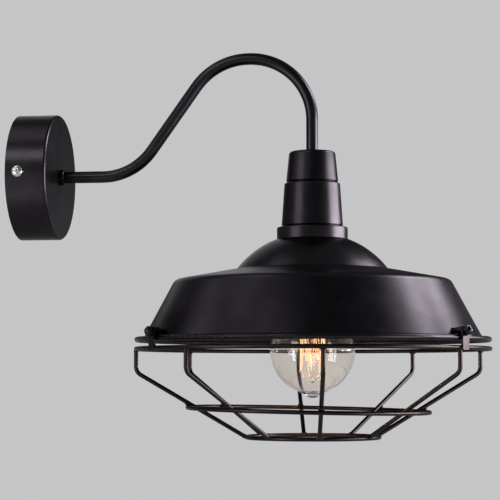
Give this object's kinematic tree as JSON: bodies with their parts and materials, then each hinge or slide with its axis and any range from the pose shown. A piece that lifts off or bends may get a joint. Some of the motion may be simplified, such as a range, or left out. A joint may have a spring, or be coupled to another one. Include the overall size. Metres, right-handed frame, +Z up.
{
  "type": "wall light",
  "caption": "Gooseneck wall light with a round canopy, a bent arm, a stepped metal shade, a clear globe bulb and a drop-off wire guard.",
  "frame": {"origin": "middle of the canopy's back face, on the wall and between the two fixing slots", "axes": "+X along the wall, -Y out from the wall towards the shade, +Z up"},
  "size_m": [0.3419, 0.4485, 0.3653],
  "materials": {
    "black_paint": "satin black powder coat",
    "zinc": "zinc-plated steel",
    "brass": "plain brass",
    "porcelain": "glazed white porcelain",
    "clear_glass": "clear glass with a faint warm tint",
    "black_glass": "black glass insulator",
    "lit_filament": "glowing filament wire",
    "nickel_wire": "thin nickel support wire",
    "block_plastic": "white moulded terminal block",
    "earth_cover": "green and yellow wire covering",
    "live_cover": "brown wire covering",
    "neutral_cover": "blue wire covering"
  },
  "bodies": {
    "light": {"arm_ferrule": "black_paint", "arm_tube": "black_paint", "canopy": "black_paint", "canopy_screws": "zinc", "centre_contact": "brass", "earth_post": "brass", "earth_screw": "brass", "earth_wire": "earth_cover", "guard_bolts": "black_paint", "guard_nuts": "black_paint", "guard_spacers": "black_paint", "holder_body": "porcelain", "holder_cap": "black_paint", "holder_screws": "zinc", "live_wire": "live_cover", "neck_cap": "black_paint", "neck_nipple": "zinc", "neck_nut": "zinc", "neck_sleeve": "black_paint", "neutral_wire": "neutral_cover", "screw_shell": "brass", "shade": "black_paint", "shade_collar": "black_paint", "shade_ring": "porcelain", "shell_rivet": "brass", "terminal_block": "block_plastic", "terminal_screws": "brass", "wall_bracket": "zinc", "wall_nipple": "zinc", "wall_nut": "zinc", "wall_washer": "zinc"},
    "guard": {"cage_bottom_ring": "black_paint", "cage_middle_ring": "black_paint", "cage_rib_1": "black_paint", "cage_rib_2": "black_paint", "cage_rib_3": "black_paint", "cage_rib_4": "black_paint", "cage_rib_5": "black_paint", "cage_rib_6": "black_paint", "cage_rib_7": "black_paint", "cage_rib_8": "black_paint", "cage_tab_1": "black_paint", "cage_tab_2": "black_paint", "cage_tab_3": "black_paint", "cage_top_ring": "black_paint"},
    "bulb": {"bulb_cap": "brass", "bulb_contact": "zinc", "bulb_filament": "lit_filament", "bulb_glass": "clear_glass", "bulb_insulator": "black_glass", "bulb_leads": "nickel_wire", "bulb_stem": "clear_glass", "bulb_supports": "nickel_wire"},
    "cap_nut_1": {"cap_nut_1": "black_paint"},
    "cap_nut_2": {"cap_nut_2": "black_paint"},
    "cap_nut_3": {"cap_nut_3": "black_paint"}
  },
  "joints": [
    {"name": "guard_slide", "type": "slide", "parent": "light", "child": "guard", "axis": [0, 0, -1], "range_m": [0, 0.06]},
    {"name": "bulb_slide", "type": "slide", "parent": "light", "child": "bulb", "axis": [0, 0, -1], "range_m": [0, 0.17]},
    {"name": "cap_nut_1_turn", "type": "hinge", "parent": "light", "child": "cap_nut_1", "pos_m": [0.16905, -0.27067, -0.1505], "axis": [0.9979, 0.0645, 0], "continuous": true},
    {"name": "cap_nut_2_turn", "type": "hinge", "parent": "light", "child": "cap_nut_2", "pos_m": [-0.10476, -0.14848, -0.1505], "axis": [-0.6184, 0.7859, 0], "continuous": true},
    {"name": "cap_nut_3_turn", "type": "hinge", "parent": "light", "child": "cap_nut_3", "pos_m": [-0.08674, -0.42711, -0.1505], "axis": [-0.512, -0.859, 0], "continuous": true}
  ]
}
